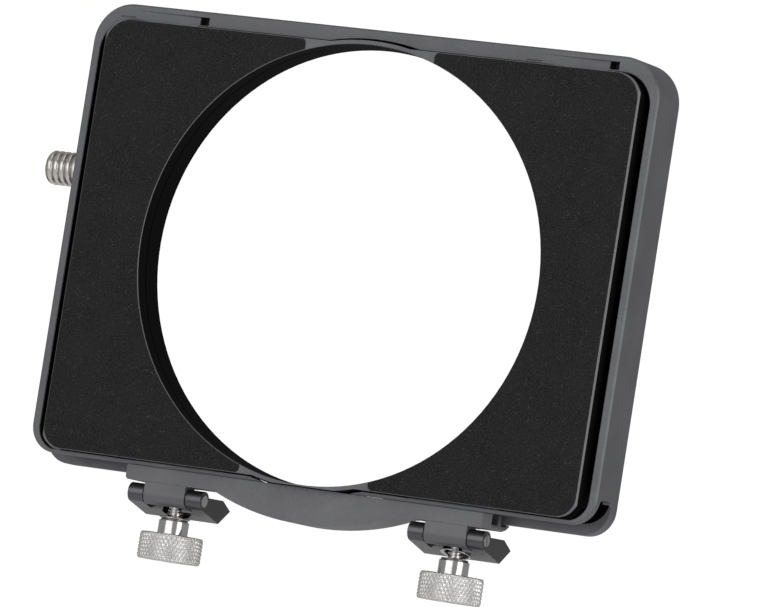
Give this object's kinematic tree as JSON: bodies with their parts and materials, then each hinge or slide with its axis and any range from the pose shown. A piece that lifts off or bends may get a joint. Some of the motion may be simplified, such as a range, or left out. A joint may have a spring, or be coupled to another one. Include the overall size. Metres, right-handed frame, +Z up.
{
  "type": "clip-on lens hood stage",
  "caption": "Shallow rectangular lens hood stage with a round flock-lined opening, hinged screw clamps on a bottom rail, hook slots in the top rim and a side stud.",
  "frame": {"origin": "on the opening's axis, in the plane of the front rim", "axes": "+X to the right seen from the front, +Y from the front towards the lens along the opening's axis, +Z up"},
  "size_m": [0.1211, 0.0151, 0.0998],
  "materials": {
    "grey_anodised": "bead blasted, charcoal anodised",
    "tray_anodised": "matte black anodised",
    "black_flock": "short black velvet flock",
    "black_anodised": "satin black anodised",
    "insert_steel": "turned",
    "black_steel": "black oxide screws",
    "stainless": "turned stainless steel"
  },
  "bodies": {
    "frame": {"frame_body": "grey_anodised", "mask_tray": "tray_anodised", "flock_pad_left": "black_flock", "flock_pad_right": "black_flock", "bottom_rail": "grey_anodised", "hinge_lug_left": "grey_anodised", "hinge_lug_right": "grey_anodised", "hinge_pin_left": "stainless", "hinge_pin_right": "stainless", "thread_insert_left": "insert_steel", "thread_insert_right": "insert_steel", "side_stud": "stainless", "stud_insert": "stainless", "tray_screws": "black_steel", "rail_screws": "black_steel"},
    "jaw_left": {"clamp_jaw_left": "black_anodised"},
    "ring_left": {"thrust_ring_left": "stainless", "jaw_washer_left": "stainless"},
    "screw_left": {"thumb_screw_left": "stainless"},
    "jaw_right": {"clamp_jaw_right": "black_anodised", "jaw_washer_right": "stainless"},
    "ring_right": {"thrust_ring_right": "stainless"},
    "screw_right": {"thumb_screw_right": "stainless"}
  },
  "joints": [
    {"name": "jaw_left_hinge", "type": "hinge", "parent": "frame", "child": "jaw_left", "pos_m": [-0.0284, 0.0026, -0.0452], "axis": [1, 0, 0], "range_deg": [0, 11]},
    {"name": "screw_left_travel", "type": "slide", "parent": "frame", "child": "ring_left", "axis": [0, 0, 1], "range_m": [0, 0.00125]},
    {"name": "screw_left_turn", "type": "hinge", "parent": "ring_left", "child": "screw_left", "pos_m": [-0.0284, 0.0065, -0.05], "axis": [0, 0, 1], "range_deg": [0, 900]},
    {"name": "jaw_right_hinge", "type": "hinge", "parent": "frame", "child": "jaw_right", "pos_m": [0.0284, 0.0026, -0.0452], "axis": [1, 0, 0], "range_deg": [0, 11]},
    {"name": "screw_right_travel", "type": "slide", "parent": "frame", "child": "ring_right", "axis": [0, 0, 1], "range_m": [0, 0.00125]},
    {"name": "screw_right_turn", "type": "hinge", "parent": "ring_right", "child": "screw_right", "pos_m": [0.0284, 0.0065, -0.05], "axis": [0, 0, 1], "range_deg": [0, 900]}
  ],
  "couplings": [
    {"joint": "screw_left_travel", "follows": "screw_left_turn", "m_per_rad": 0.000079577},
    {"joint": "jaw_left_hinge", "follows": "screw_left_turn", "ratio": 0.012222},
    {"joint": "screw_right_travel", "follows": "screw_right_turn", "m_per_rad": 0.000079577},
    {"joint": "jaw_right_hinge", "follows": "screw_right_turn", "ratio": 0.012222}
  ]
}
